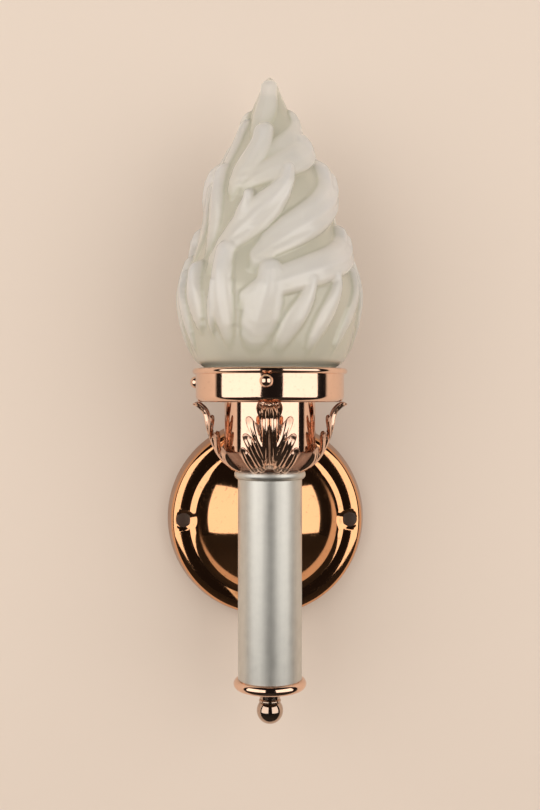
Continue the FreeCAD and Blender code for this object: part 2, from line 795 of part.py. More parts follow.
def tongue_path(foot_angle, foot, tip_angle, tip, half_width, rise):
    """Points along a tongue: angle, height, half width and rise. It leans over more towards its tip."""
    path = []
    for step in range(PATH_STEPS + 1):
        share = step / PATH_STEPS
        angle = foot_angle + (tip_angle - foot_angle) * share**LEAN
        height = S.flame_height.value * (foot + (tip - foot) * share)
        width = S.flame_radius.value * half_width * (0.35 + 0.65 * math.sin(math.pi * (0.12 + 0.68 * share)))
        path.append((angle, height, width, S.flame_radius.value * rise * (0.12 + 0.88 * share**0.8)))
    return path


PATHS = [tongue_path(*tongue) for tongue in TONGUES]


def tongue_rise(path, facing, angle, height, radius):
    """How far one tongue stands out from the body at a place on it: a round ridge along its path."""
    best = 0.0
    for (angle_0, height_0, width_0, rise_0), (angle_1, height_1, width_1, rise_1) in zip(path, path[1:]):
        aside = math.radians((angle_0 + facing - angle + 180) % 360 - 180) * radius
        below = height_0 - height
        run = math.radians(angle_1 - angle_0) * radius
        climb = height_1 - height_0
        along = -(aside * run + below * climb) / (run * run + climb * climb)
        along = min(max(along, 0), 1)
        away = math.hypot(aside + run * along, below + climb * along)
        width = width_0 + (width_1 - width_0) * along
        if away < width:
            rise = rise_0 + (rise_1 - rise_0) * along
            best = max(best, rise * math.sqrt(1 - (away / width) ** 2))
    return best


def flame_ring(share, inset=0.0):
    """One ring of the flame's outside, or of its plain inside this far within the body."""
    radius, height = body_radius(share), S.flame_height.value * share
    ring_points = []
    for number in range(RING_POINTS):
        angle = 360 * number / RING_POINTS
        reach = radius - inset
        if not inset:
            rises = (tongue_rise(path, facing, angle, height, radius) for path in PATHS for facing in FACINGS)
            reach += max(rises) * min(share / FOOT_FADE, 1)
        turn = math.radians(angle)
        ring_points.append(Vector(reach * math.sin(turn), -reach * math.cos(turn), height))
    return ring_points


outside = [flame_ring(step / RINGS) for step in range(RINGS)]
inside = [flame_ring(INNER_TOP * step / INNER_RINGS, S.glass_wall.value) for step in range(INNER_RINGS)]
rings = [*reversed(inside), *outside]
inner_top = Vector(0, 0, S.flame_height.value * INNER_TOP)
tip = Vector(0, 0, S.flame_height.value)
facets = []
for number in range(RING_POINTS):
    following = (number + 1) % RING_POINTS
    for low, high in zip(rings, rings[1:]):
        facets.append([low[number], low[following], high[following]])
        facets.append([low[number], high[following], high[number]])
    facets.append([inner_top, rings[0][following], rings[0][number]])
    facets.append([tip, rings[-1][number], rings[-1][following]])
glass_mesh = Mesh.Mesh(facets)
glass_skin = Part.Shape()
glass_skin.makeShapeFromMesh(glass_mesh.Topology, 0.001)
glass = Part.makeSolid(glass_skin)
flame_shade = doc.addObject("Part::Feature", "flame_shade")
flame_shade.Shape = glass
keep(flame_shade, glass_bottom + S.glass_neck_height)

doc.recompute()
problems = [thing.Name for thing in doc.Objects if {"Invalid", "Error"} & set(thing.State)]
problems += [thing.Label for thing in PARTS if thing.Shape.isNull() or not thing.Shape.isValid()]
if problems:
    raise ValueError(f"failed: {problems}")
os.makedirs("parts", exist_ok=True)
for piece in PARTS:
    piece.Shape.exportStep(f"parts/{piece.Label}.step")
    print(f"{piece.Label}: {len(piece.Shape.Solids)} solid, {piece.Shape.Volume:.0f} mm3")
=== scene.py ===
import math

import bpy
import numpy as np
from mathutils import Matrix, Vector
from mathutils.geometry import delaunay_2d_cdt


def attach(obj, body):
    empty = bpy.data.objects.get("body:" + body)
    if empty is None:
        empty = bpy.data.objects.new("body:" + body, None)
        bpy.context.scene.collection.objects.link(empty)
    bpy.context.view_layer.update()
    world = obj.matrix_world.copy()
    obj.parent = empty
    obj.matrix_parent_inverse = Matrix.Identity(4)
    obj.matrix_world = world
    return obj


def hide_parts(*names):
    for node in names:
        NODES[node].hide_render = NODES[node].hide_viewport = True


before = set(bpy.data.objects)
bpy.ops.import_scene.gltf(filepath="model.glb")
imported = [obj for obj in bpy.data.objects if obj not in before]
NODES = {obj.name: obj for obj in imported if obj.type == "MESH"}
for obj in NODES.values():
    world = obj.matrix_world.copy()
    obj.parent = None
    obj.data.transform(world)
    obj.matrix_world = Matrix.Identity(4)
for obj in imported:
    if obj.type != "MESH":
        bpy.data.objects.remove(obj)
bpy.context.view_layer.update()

# Camera. It stands at the photograph's own place: 0.7 m before the wall, a little above the arm and a
# little to its left. It looks at the stem, and its lens was found from the canopy's and tube's outlines.
camera = bpy.data.objects.new("camera", bpy.data.cameras.new("camera"))
camera.data.lens = 48.9
camera.data.sensor_width = 36
camera.location = (-0.030, -0.715, 0.079)
camera.rotation_euler = (math.radians(89.5), 0, math.radians(-2.63))
bpy.context.scene.collection.objects.link(camera)
bpy.context.scene.camera = camera


# Wall, floor and light. A pale painted wall carries the light, over a pale floor. Two large soft panels
# stand before it and one behind it, which lights the back. Polished metal mirrors the rest of the room
# dark, as it does in the photograph.
class Socket:
    """A number that changes over a surface. Arithmetic on it adds Math nodes."""

    def __init__(self, finish, socket):
        self.finish = finish
        self.socket = socket

    def _math(self, operation, *numbers):
        return self.finish.node("ShaderNodeMath", {"operation": operation}, dict(enumerate(numbers)))

    def __add__(self, other):
        return self._math("ADD", self, other)

    def __rsub__(self, other):
        return self._math("SUBTRACT", other, self)

    def __mul__(self, other):
        return self._math("MULTIPLY", self, other)


class Finish:
    """One procedural material, or the world, while its nodes are made."""

    def __init__(self, name, holder=None):
        self.made = holder or bpy.data.materials.new(name)
        self.made.use_nodes = True
        self.tree = self.made.node_tree

    def node(self, kind, settings=None, inputs=None, output=0):
        """Adds a node: its settings first, then the numbers or links of its sockets."""
        node = self.tree.nodes.new(kind)
        for name, setting in (settings or {}).items():
            if name == "stops":
                ramp = node.color_ramp
                for at, (place, tone) in enumerate(setting):
                    stop = ramp.elements[at] if at < 2 else ramp.elements.new(place)
                    stop.position = place
                    stop.color = (*tone, 1) if isinstance(tone, tuple) else (tone, tone, tone, 1)
            else:
                setattr(node, name, setting)
        for name, given in (inputs or {}).items():
            if isinstance(given, Socket):
                self.tree.links.new(given.socket, node.inputs[name])
            else:
                node.inputs[name].default_value = given
        return Socket(self, node.outputs[output])

    def noise(self, scale, detail=2.0, stretch=(1, 1, 1)):
        """Noise on the piece's own place, drawn out along an axis by a stretch below 1."""
        place = self.node("ShaderNodeTexCoord", output="Object")
        place = self.node("ShaderNodeVectorMath", {"operation": "MULTIPLY"}, {0: place, 1: stretch})
        return self.node("ShaderNodeTexNoise", None, {"Vector": place, "Scale": scale, "Detail": detail})

    def mix(self, factor, low, high):
        """A colour that goes from low to high. Each is three numbers or a socket."""
        low, high = (tone if isinstance(tone, Socket) else (*tone, 1) for tone in (low, high))
        return self.node("ShaderNodeMix", {"data_type": "RGBA"}, {"Factor": factor, 6: low, 7: high}, 2)

    def ramp(self, factor, *stops):
        return self.node("ShaderNodeValToRGB", {"stops": stops}, {"Fac": factor})

    def bump(self, height, strength, distance):
        depth = {"Height": height, "Strength": strength, "Distance": distance}
        return self.node("ShaderNodeBump", None, depth)

    def surface(self, **sockets):
        """Sets the sockets of the material's own shader."""
        shader = self.tree.nodes["Principled BSDF"]
        for name, given in sockets.items():
            socket = shader.inputs[name.replace("_", " ")]
            if isinstance(given, Socket):
                self.tree.links.new(given.socket, socket)
            else:
                socket.default_value = given
        return self.made


def mesh_piece(name, points, faces, material, smooth_angle=35):
    """A mesh object at the origin, in metres from points in millimetres, smooth below an angle."""
    mesh = bpy.data.meshes.new(name)
    mesh.from_pydata([tuple(c / 1000 for c in point) for point in points], [], faces)
    mesh.shade_smooth()
    mesh.set_sharp_from_angle(angle=math.radians(smooth_angle))
    mesh.materials.append(material)
    piece = bpy.data.objects.new(name, mesh)
    bpy.context.scene.collection.objects.link(piece)
    return piece


WALL_TONE = (0.680, 0.576, 0.490)
wall_paint = Finish("wall_paint")
wall_paint.surface(Base_Color=(*WALL_TONE, 1), Roughness=0.9)
shader = Socket(wall_paint, wall_paint.tree.nodes["Principled BSDF"].outputs[0])
from_behind = wall_paint.node("ShaderNodeNewGeometry", output="Backfacing")
clear = wall_paint.node("ShaderNodeBsdfTransparent")
either = wall_paint.node("ShaderNodeMixShader", None, {0: from_behind, 1: shader, 2: clear})
wall_paint.tree.links.new(either.socket, wall_paint.tree.nodes["Material Output"].inputs["Surface"])
WALL_REACH, WALL_BEHIND, FLOOR_HEIGHT = 2500, 0.4, -900
# The wall box: a round opening behind the canopy, where light comes in from the back.
BOX_RADIUS, BOX_POINTS = 36, 48
hole, border = [], []
for turn in np.linspace(0, 2 * math.pi, BOX_POINTS, endpoint=False):
    across, up = math.cos(turn), math.sin(turn)
    hole.append((BOX_RADIUS * across, WALL_BEHIND, BOX_RADIUS * up))
    to_edge = WALL_REACH if up > 0 else -FLOOR_HEIGHT
    reach = min(WALL_REACH / max(abs(across), 1e-9), to_edge / max(abs(up), 1e-9))
    border.append((reach * across, WALL_BEHIND, reach * up))
corners = [(x, WALL_BEHIND, z) for x in (-WALL_REACH, WALL_REACH) for z in (FLOOR_HEIGHT, WALL_REACH)]
for corner in corners:
    nearest = min(range(BOX_POINTS), key=lambda n: math.dist(border[n], corner))
    border[nearest] = corner
following = [(n + 1) % BOX_POINTS for n in range(BOX_POINTS)]
strips = [(n, n + BOX_POINTS, ahead + BOX_POINTS, ahead) for n, ahead in enumerate(following)]
wall = mesh_piece("wall", hole + border, strips, wall_paint.made)

floor_paint = Finish("floor_paint")
mirrored = floor_paint.node("ShaderNodeLightPath", output="Is Glossy Ray")
floor_paint.surface(Base_Color=floor_paint.mix(mirrored, WALL_TONE, (0.03, 0.026, 0.022)), Roughness=0.9)
floor_corners = [
    (-WALL_REACH, -WALL_REACH, FLOOR_HEIGHT),
    (WALL_REACH, -WALL_REACH, FLOOR_HEIGHT),
    (WALL_REACH, WALL_BEHIND, FLOOR_HEIGHT),
    (-WALL_REACH, WALL_BEHIND, FLOOR_HEIGHT),
]
floor = mesh_piece("floor", floor_corners, [(0, 1, 2, 3)], floor_paint.made)

room = Finish("room", bpy.data.worlds.new("room"))
bpy.context.scene.world = room.made
kinds = ("Camera", "Glossy", "Transmission")
seen, mirrored, through = (room.node("ShaderNodeLightPath", output=f"Is {kind} Ray") for kind in kinds)
FILL_LIGHT, DARK_ROOM, PALE_ROOM = (0.66, 0.65, 0.635), (0.012, 0.010, 0.010), (0.62, 0.56, 0.50)
tone = room.mix(seen + through, room.mix(mirrored, FILL_LIGHT, DARK_ROOM), PALE_ROOM)
room.tree.links.new(tone.socket, room.tree.nodes["Background"].inputs["Color"])

PANEL_HEIGHT, PANEL_RADIANCE = 1.05, 5.13
PANELS = ((-48, 1.22), (45, 1.08), (165, 0.6))
PANEL_AIM = Vector((0, -0.061, 0.18))
for azimuth, width in PANELS:
    panel = bpy.data.lights.new("soft_panel", "AREA")
    panel.shape = "RECTANGLE"
    panel.size, panel.size_y = width, PANEL_HEIGHT
    panel.energy = PANEL_RADIANCE * width * PANEL_HEIGHT
    panel.color = (1.0, 0.97, 0.93)
    lamp = bpy.data.objects.new("soft_panel", panel)
    stand = PANEL_AIM + Vector((math.sin(math.radians(azimuth)), -math.cos(math.radians(azimuth)), 0))
    lamp.location = stand
    lamp.rotation_euler = (stand - PANEL_AIM).to_track_quat("Z", "Y").to_euler()
    lamp.visible_camera = False
    bpy.context.scene.collection.objects.link(lamp)
bpy.context.scene.view_settings.view_transform = "Standard"


# Canopy. A thin brass dish, spun and stamped, copper plated and buffed to a mirror, with fine wipe marks
# and a few dark specks in the plating.
def plated(name, tone, dark, specks, darkening_mask=None):
    """Buffed metal plate: two close tones, wipe marks, dark specks, and the dark tone also where a given
    mask says: painted shade, and at the canopy's side tarnish too.
    """
    plate = Finish(name)
    cloud = plate.noise(38, 4)
    specks_and_shade = plate.ramp(plate.noise(420, 3), (0.60, 0.0), (0.72, specks))
    if darkening_mask:
        # the mask's painted shade takes the same dark tone as the specks
        specks_and_shade = plate.node("ShaderNodeMath", {"operation": "MAXIMUM"}, {0: specks_and_shade, 1: darkening_mask(plate)})
    deeper = tuple(part * 0.88 for part in tone)
    wipe = plate.noise(900, 2, (1, 1, 0.08))
    return plate.surface(
        Metallic=1.0,
        Base_Color=plate.mix(specks_and_shade, plate.mix(cloud, tone, deeper), dark),
        Roughness=cloud * 0.05 + specks_and_shade * 0.25 + wipe * 0.04 + 0.03,
        Normal=plate.bump(plate.noise(60, 2), 0.12, 0.0004),
    )


def shaded_tarnished_edge(plate):
    """The dish's side is darker towards the wall: painted shade where the wall shades it, together with
    tarnish. Both thin out as the side comes near the face.
    """
    place = plate.node("ShaderNodeTexCoord", output="Object")
    depth = plate.node("ShaderNodeSeparateXYZ", None, {0: place}, 1)
    unmarked_depth, darkest_depth, most = -0.0150, -0.0118, 0.62
    return plate.node("ShaderNodeMapRange", None, {0: depth, 1: unmarked_depth, 2: darkest_depth, 3: 0.0, 4: most})


COPPER, COPPER_SPECK = (0.93, 0.62, 0.46), (0.30, 0.15, 0.10)
# The canopy's plate gets painted shade, with tarnish, along its side near the wall.
aged_copper = plated("aged_copper_plate", (0.86, 0.43, 0.21), (0.28, 0.15, 0.08), 0.30, shaded_tarnished_edge)
copper = plated("copper_plate", COPPER, COPPER_SPECK, 0.14)


def dress(material, *names):
    """Gives the construction's own pieces a finish."""
    for name in names:
        NODES[name].material_slots[0].material = material


def rounded(corners):
    """An outline in millimetres. A corner (x, y, radius) is rounded by that radius, a point each 1 mm."""
    outline = []
    for n, (x, y, *radius) in enumerate(corners):
        corner = np.array((x, y))
        if not radius:
            outline.append(corner)
            continue
        back, ahead = (np.array(corners[n + k][:2]) - corner for k in (-1, 1))
        back, ahead = back / np.hypot(*back), ahead / np.hypot(*ahead)
        half_bend = math.acos(back @ ahead) / 2
        sweep = math.pi - 2 * half_bend
        middle = corner + (back + ahead) / np.hypot(*(back + ahead)) * radius[0] / math.sin(half_bend)
        begin, end = (corner + side * radius[0] / math.tan(half_bend) - middle for side in (back, ahead))
        for share in np.linspace(0, 1, max(3, round(sweep * radius[0])) + 1):
            way = begin * math.sin((1 - share) * sweep) + end * math.sin(share * sweep)
            outline.append(middle + way / np.hypot(*way) * radius[0])
    return outline


def spun(name, outline, material, around=192, centre=(0, 0)):
    """A closed outline of (radius, depth) turned about an axis square to the wall."""
    points = []
    for turn in np.linspace(0, 2 * math.pi, around, endpoint=False):
        x, z = math.sin(turn), math.cos(turn)
        points += [(centre[0] + r * x, -depth, centre[1] + r * z) for r, depth in outline]
    size = len(outline)
    faces = []
    for step in range(around):
        here, there = step * size, (step + 1) % around * size
        faces += [(here + n, here + (n + 1) % size, there + (n + 1) % size, there + n) for n in range(size)]
    return mesh_piece(name, points, faces, material)


SIDE_RADIUS, CORNER_RADIUS, CORNER_DEPTH, CORNER_ROUND = 63.5, 60.3, 17.2, 5.6
RING_SLOPE = math.tan(math.radians(3.6))
VALLEY_RADIUS, VALLEY, VALLEY_REACH = 46.0, 1.2, 6.0
DOME_RADIUS, CROWN_RADIUS, CROWN, PIPE_HOLE = 60.0, 10.0, 38.8, 5.1
SHEET = 1.0


def dish(within):
    """One face of the dish from its edge to the pipe's hole: side, corner, ring, valley and dome."""
    corner, corner_depth, valley = CORNER_RADIUS - within, CORNER_DEPTH - within, VALLEY_RADIUS - within
    dome, crown = DOME_RADIUS - within, CROWN - within
    lift = crown - math.sqrt(dome * dome - CROWN_RADIUS**2)
    ring_end = (valley + 4, corner_depth + (corner - valley) * RING_SLOPE)
    ring = rounded([(SIDE_RADIUS - within, 0), (corner, corner_depth, CORNER_ROUND - within), ring_end])
    bend = np.arange(valley + 3.5, valley - VALLEY_REACH, -0.5)
    for r in np.concatenate([bend, np.linspace(valley - VALLEY_REACH, CROWN_RADIUS, 40)]):
        flat = corner_depth + (corner - r) * RING_SLOPE
        domed = lift + math.sqrt(max(dome * dome - r * r, 0))
        # the valley: the ring runs over into the dome
        ring.append(np.array((r, flat + VALLEY * math.log1p(math.exp((domed - flat) / VALLEY)))))
    return ring + [np.array((PIPE_HOLE, crown))]


canopy = spun("canopy_dish", dish(0) + dish(SHEET)[::-1], aged_copper)
HOLE_X, HOLE_RADIUS, DIMPLE_RADIUS, DIMPLE = 53.0, 4.5, 6.2, 0.7
hole_depth = CORNER_DEPTH + (CORNER_RADIUS - HOLE_X) * RING_SLOPE
drill = [(0.01, 5), (HOLE_RADIUS, 5), (HOLE_RADIUS, hole_depth - DIMPLE), (DIMPLE_RADIUS, hole_depth)]
drill += [(9, hole_depth + 1.5), (9, 30), (0.01, 30)]
for side in (-1, 1):
    cutter = spun("hole_cutter", drill, aged_copper, 64, (side * HOLE_X, 0))
    cut = canopy.modifiers.new("hole", "BOOLEAN")
    cut.object = cutter
    cut.solver = "EXACT"
    bpy.context.view_layer.update()
    cut_dish = canopy.evaluated_get(bpy.context.evaluated_depsgraph_get())
    drilled = bpy.data.meshes.new_from_object(cut_dish)
    canopy.modifiers.clear()
    canopy.data = drilled
    bpy.data.objects.remove(cutter)
canopy.data.set_sharp_from_angle(angle=math.radians(35))
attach(canopy, "sconce")
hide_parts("canopy")


# Arm. Steel washers and a brass nut clamp a zinc-plated pipe in the canopy's crown, and the pipe runs
# through a copper-plated saddle into the hub inside the stem. The brass is turned, with a dull shine.
def machined(name, tone, shine):
    """Turned or zinc-plated metal: cloudy tone and fine tool marks across it."""
    metal = Finish(name)
    cloud = metal.noise(120, 3)
    return metal.surface(
        Metallic=1.0,
        Base_Color=metal.mix(cloud, tone, tuple(part * 0.7 for part in tone)),
        Roughness=cloud * 0.15 + shine,
        Normal=metal.bump(metal.noise(1500, 2, (0.1, 0.1, 1)), 0.2, 0.0002),
    )


brass = machined("turned_brass", (0.80, 0.58, 0.28), 0.22)
zinc = machined("zinc_plate", (0.62, 0.63, 0.64), 0.30)
dress(zinc, "canopy_washer", "canopy_lock_washer", "cup_washer")
dress(zinc, "arm_nipple", "lower_nipple", "upper_nipple")
dress(brass, "canopy_nut", "center_hub", "cup_lock_nut", "socket_lock_nut", "socket_cap", "socket_shell")
dress(brass, "socket_contact", "terminal_screw_left", "terminal_screw_right")
dress(copper, "arm_saddle")

# Stem. A drawn tube with a bead rolled at its top, lacquered in satin silver. The lacquer is lightly
# mottled and faintly streaked along the tube.
satin = Finish("satin_silver")
mottle = satin.noise(160, 5)
streak = satin.noise(300, 3, (1, 1, 0.05))
SATIN_DARK, SATIN_LIGHT = (0.66, 0.64, 0.59), (0.78, 0.76, 0.70)
satin.surface(
    Metallic=1.0,
    Base_Color=satin.ramp(mottle * 0.6 + streak * 0.4, (0.30, SATIN_DARK), (0.70, SATIN_LIGHT)),
    Roughness=mottle * 0.10 + 0.41,
    Normal=satin.bump(streak, 0.15, 0.0002),
)
dress(satin.made, "torch_tube")

# Bottom cap and finial. A shallow dish, a collar and a ball, all turned and buffed. The collar and ball
# are browner than the dish and more specked.
dress(copper, "bottom_cap")
finial_copper = plated("finial_plate", (0.60, 0.44, 0.34), (0.10, 0.06, 0.05), 0.4)
dress(finial_copper, "finial_neck", "ball_finial")


# Leaf cup. A bowl stamped from one sheet of copper-plated brass whose upper part is four acanthus leaves.
# Each leaf has a fluted rib, two pairs of fingers and a small curl low on each side. Its tip flares out.
def profile(corners, step=0.5):
    """Points along an outline in millimetres. (x, y, radius) ends an arc, to the left if positive."""
    points = [np.array(corners[0][:2], float)]
    for corner in corners[1:]:
        start, end = points[-1], np.array(corner[:2], float)
        chord = end - start
        length = np.hypot(*chord)
        if len(corner) == 2:
            count = max(1, round(length / step))
            points += [start + chord * n / count for n in range(1, count + 1)]
            continue
        radius = corner[2]
        reach = math.sqrt(radius * radius - length * length / 4) * math.copysign(1, radius)
        centre = start + chord / 2 + np.array((-chord[1], chord[0])) / length * reach
        begin = math.atan2(*(start - centre)[::-1])
        sweep = 2 * math.asin(length / 2 / radius)
        count = max(2, round(abs(sweep * radius) / step))
        for n in range(1, count + 1):
            angle = begin + sweep * n / count
            points.append(centre + abs(radius) * np.array((math.cos(angle), math.sin(angle))))
    return np.array(points)


CUP_FOOT, LEAF_COUNT = 34.9, 4
BELL = [(5.1, 0), (19.6, 0), (31.6, 13.4, 30.0), (36.6, 28.6, 60.0), (45.2, 40.4, -12.5)]
bell = profile(BELL)
bell_path = np.concatenate([[0], np.cumsum(np.hypot(*np.diff(bell, axis=0).T))])
# The flat sheet is measured in millimetres up the bell and in this many units to a degree across it.
ACROSS = 0.6


def on_bell(along):
    """Radius and height of the bell, so many millimetres up its sheet."""
    return np.interp(along, bell_path, bell[:, 0]), np.interp(along, bell_path, bell[:, 1])


def on_sheet(x, z):
    """The flat sheet's point for a place on the leaf seen from its front."""
    along = np.interp(z - CUP_FOOT, bell[:, 1], bell_path)
    return (math.degrees(math.asin(min(1, x / on_bell(along)[0]))) * ACROSS, along)


# Half of a leaf's outline: millimetres from its middle and height, from the gap beside it to its tip.
LEAF_SIDE = [
    (20.95, 45.7),
    (18.6, 45.8),
    (17.1, 46.5),
    (16.9, 48.2),
    (16.0, 49.3),
    (14.6, 49.1),
    (12.9, 47.4),
    (11.2, 45.6),
    (10.3, 44.9),
    (11.0, 46.8),
    (12.9, 50.2),
    (14.9, 54.0),
    (15.3, 56.3),
    (14.0, 57.6),
    (12.2, 57.0),
    (10.2, 54.9),
    (8.6, 53.4),
    (8.4, 54.4),
    (9.6, 56.8),
    (12.0, 60.8),
    (13.3, 64.2),
    (13.2, 66.4),
    (11.8, 67.4),
    (10.2, 66.6),
    (8.2, 64.2),
    (6.4, 62.4),
    (5.7, 63.6),
    (5.9, 66.2),
    (7.0, 69.4),
    (7.4, 72.2),
    (6.4, 74.3),
    (4.2, 75.1),
    (2.0, 75.25),
]
edge = 180 / LEAF_COUNT * ACROSS
half = [(edge, on_sheet(*LEAF_SIDE[0])[1])] + [on_sheet(*place) for place in LEAF_SIDE[1:]]
rim = np.array(half + [(0, bell_path[-1])] + [(-a, m) for a, m in reversed(half)])
# A curve through the outline's points rounds it between them.
smooth = []
for n in range(len(rim) - 1):
    p0, p1, p2, p3 = (rim[min(max(n + k, 0), len(rim) - 1)] for k in (-1, 0, 1, 2))
    slope, bend, twist = p2 - p0, 2 * p0 - 5 * p1 + 4 * p2 - p3, 3 * p1 - p0 - 3 * p2 + p3
    for t in np.linspace(0, 1, 6, endpoint=False):
        smooth.append(0.5 * (2 * p1 + slope * t + bend * t * t + twist * t**3))
smooth.append(rim[-1])
SIDE_STEPS = 24
sides = np.linspace(0, half[0][1], SIDE_STEPS, endpoint=False)
outline = [(-edge, m) for m in sides] + [tuple(p) for p in reversed(smooth)]
outline += [(edge, m) for m in sides[::-1]]
outline += [(a, 0.0) for a in np.linspace(edge, -edge, SIDE_STEPS)[1:-1]]
GRID, GRID_UP = 0.36, 0.36 * 2.3
columns = np.arange(-edge + GRID / 2, edge, GRID)
inside = [(a, m) for a in columns for m in np.arange(GRID, bell_path[-1], GRID_UP)]
ring_edges = [(n, (n + 1) % len(outline)) for n in range(len(outline))]
flat, _, triangles, _, _, _ = delaunay_2d_cdt(
    [Vector(p) for p in outline + inside], ring_edges, [list(range(len(outline)))], 1, 1e-4
)
# Each finger's foot, tip and half width, in millimetres from the leaf's middle and height.
FINGERS = (
    ((3.6, 44.0), (11.4, 64.6), 2.8),
    ((4.6, 37.5), (13.2, 54.8), 2.9),
    ((8.6, 36.5), (15.0, 46.6), 2.7),
)
VEIN, VEIN_WIDTH = 0.25, 0.18
FULL_RISE = 1.8
RIB_WIDTH, RIB_RISE, RIB_FOOT, RIB_START = 5.4, 1.9, 35.5, 5.0
FLUTE, FLUTE_DEPTH = 1.8, 0.34


def relief(x, z):
    """How far the leaf's face stands out from the plain bell."""
    x = abs(x)
    rise = 0.0
    for (x0, z0), (x1, z1), width in FINGERS:
        run = Vector((x1 - x0, z1 - z0))
        place = Vector((x - x0, z - z0))
        share = max(0, min(1, place.dot(run) / run.length_squared))
        away = (place - run * share).length / width
        if away < 1:
            vein = VEIN * math.exp(-((away / VEIN_WIDTH) ** 2))
            # a finger swells most a third of the way up and thins out to its tip
            swell = 0.5 + 2.0 * math.sin(math.pi * (0.22 + 0.78 * share))
            rise = max(rise, swell * (math.sqrt(1 - away * away) - vein))
    if x < RIB_WIDTH and z > RIB_FOOT:
        flute = FLUTE_DEPTH * math.cos(2 * math.pi * x / FLUTE)
        rib = RIB_RISE * math.sqrt(1 - (x / RIB_WIDTH) ** 2) + flute
        rise = max(rise, min(1, (z - RIB_FOOT) / RIB_START) * rib)
    return rise


points, rises = [], []
for a, m in ((p[0] / ACROSS, p[1]) for p in flat):
    radius, height = on_bell(m)
    below, above = (np.array(on_bell(min(max(m + way, 0), bell_path[-1]))) for way in (-0.4, 0.4))
    ahead = above - below
    out = np.array((ahead[1], -ahead[0])) / max(np.hypot(*ahead), 1e-6)
    turn = math.radians(a)
    rise = relief(radius * math.sin(turn), height + CUP_FOOT)
    rises.append(min(1, rise / FULL_RISE))
    radius, height = radius + out[0] * rise, height + out[1] * rise
    points.append((radius * math.sin(turn), -radius * math.cos(turn), height + CUP_FOOT))


def shaded_hollows(plate):
    """Painted shade: the plate is darker where the leaf's face stands out least, in its grooves and the
    plain bowl between the fingers and rib.
    """
    rise = plate.node("ShaderNodeAttribute", {"attribute_name": "rise"}, output="Fac")
    return plate.ramp(rise + plate.noise(220, 3) * 0.3, (0.12, 0.9), (0.65, 0.0))


# The leaf plate gets painted shade in its grooves and hollows.
leaf_copper = plated("leaf_plate", COPPER, COPPER_SPECK, 0.14, shaded_hollows)
quarter = mesh_piece("leaf_quarter", points, [tuple(t) for t in triangles], leaf_copper)
marks = quarter.data.attributes.new("rise", "FLOAT", "POINT")
marks.data.foreach_set("value", np.array(rises, np.float32))


def around_axis(name, part, count, material, weld):
    """Repeats a part round the torch axis with Geometry Nodes, and welds it into one plain mesh."""
    tree = bpy.data.node_groups.new(f"{name}_round", "GeometryNodeTree")
    tree.is_modifier = True
    tree.interface.new_socket("Count", in_out="INPUT", socket_type="NodeSocketInt")
    tree.interface.new_socket("Weld distance", in_out="INPUT", socket_type="NodeSocketFloat")
    tree.interface.new_socket("Geometry", in_out="OUTPUT", socket_type="NodeSocketGeometry")
    add, link = tree.nodes.new, tree.links.new
    given, result = add("NodeGroupInput"), add("NodeGroupOutput")
    kinds = ("Points", "InstanceOnPoints", "ObjectInfo", "InputIndex")
    spots, copies, source, index = (add(f"GeometryNode{kind}") for kind in kinds)
    kinds = ("RealizeInstances", "MergeByDistance", "SetMaterial")
    realize, merge, finish = (add(f"GeometryNode{kind}") for kind in kinds)
    share, turn, angle = (add(f"ShaderNode{kind}") for kind in ("Math", "Math", "CombineXYZ"))
    share.operation = "DIVIDE"
    turn.operation = "MULTIPLY"
    turn.inputs[1].default_value = 2 * math.pi
    source.inputs["Object"].default_value = part
    finish.inputs["Material"].default_value = material
    link(given.outputs["Count"], spots.inputs["Count"])
    link(spots.outputs[0], copies.inputs["Points"])
    link(source.outputs["Geometry"], copies.inputs["Instance"])
    link(index.outputs[0], share.inputs[0])
    link(given.outputs["Count"], share.inputs[1])
    link(share.outputs[0], turn.inputs[0])
    link(turn.outputs[0], angle.inputs["Z"])
    link(angle.outputs[0], copies.inputs["Rotation"])
    link(given.outputs["Weld distance"], merge.inputs["Distance"])
    for before, after in ((copies, realize), (realize, merge), (merge, finish), (finish, result)):
        link(before.outputs[0], after.inputs[0])
    carrier = bpy.data.objects.new(f"{name}_carrier", bpy.data.meshes.new(f"{name}_carrier"))
    bpy.context.scene.collection.objects.link(carrier)
    modifier = carrier.modifiers.new("round", "NODES")
    modifier.node_group = tree
    for item in tree.interface.items_tree:
        if item.in_out == "INPUT":
            modifier[item.identifier] = {"Count": count, "Weld distance": weld}[item.name]
    bpy.context.view_layer.update()
    graph = bpy.context.evaluated_depsgraph_get()
    mesh = bpy.data.meshes.new_from_object(carrier.evaluated_get(graph))
    bpy.data.objects.remove(carrier)
    bpy.data.objects.remove(part)
    piece = bpy.data.objects.new(name, mesh)
    bpy.context.scene.collection.objects.link(piece)
    return piece


STEM, CUP_TURN, LEAF_SHEET, WELD = Vector((0, -0.061, 0)), -3, 0.0009, 0.00005
leaves = around_axis("acanthus_cup", quarter, LEAF_COUNT, leaf_copper, WELD)
leaves.data.transform(Matrix.Translation(STEM) @ Matrix.Rotation(math.radians(CUP_TURN), 4, "Z"))
sheet = leaves.modifiers.new("sheet", "SOLIDIFY")
sheet.thickness = LEAF_SHEET
sheet.offset = -1
leaves.data.shade_smooth()
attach(leaves, "sconce")
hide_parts("leaf_cup")

# Socket cup and shade holder. A drawn cylinder stands in the bowl, and the fitter ring with its rolled rim
# sits on it. Both are buffed copper plate.
dress(copper, "socket_cup", "shade_holder")

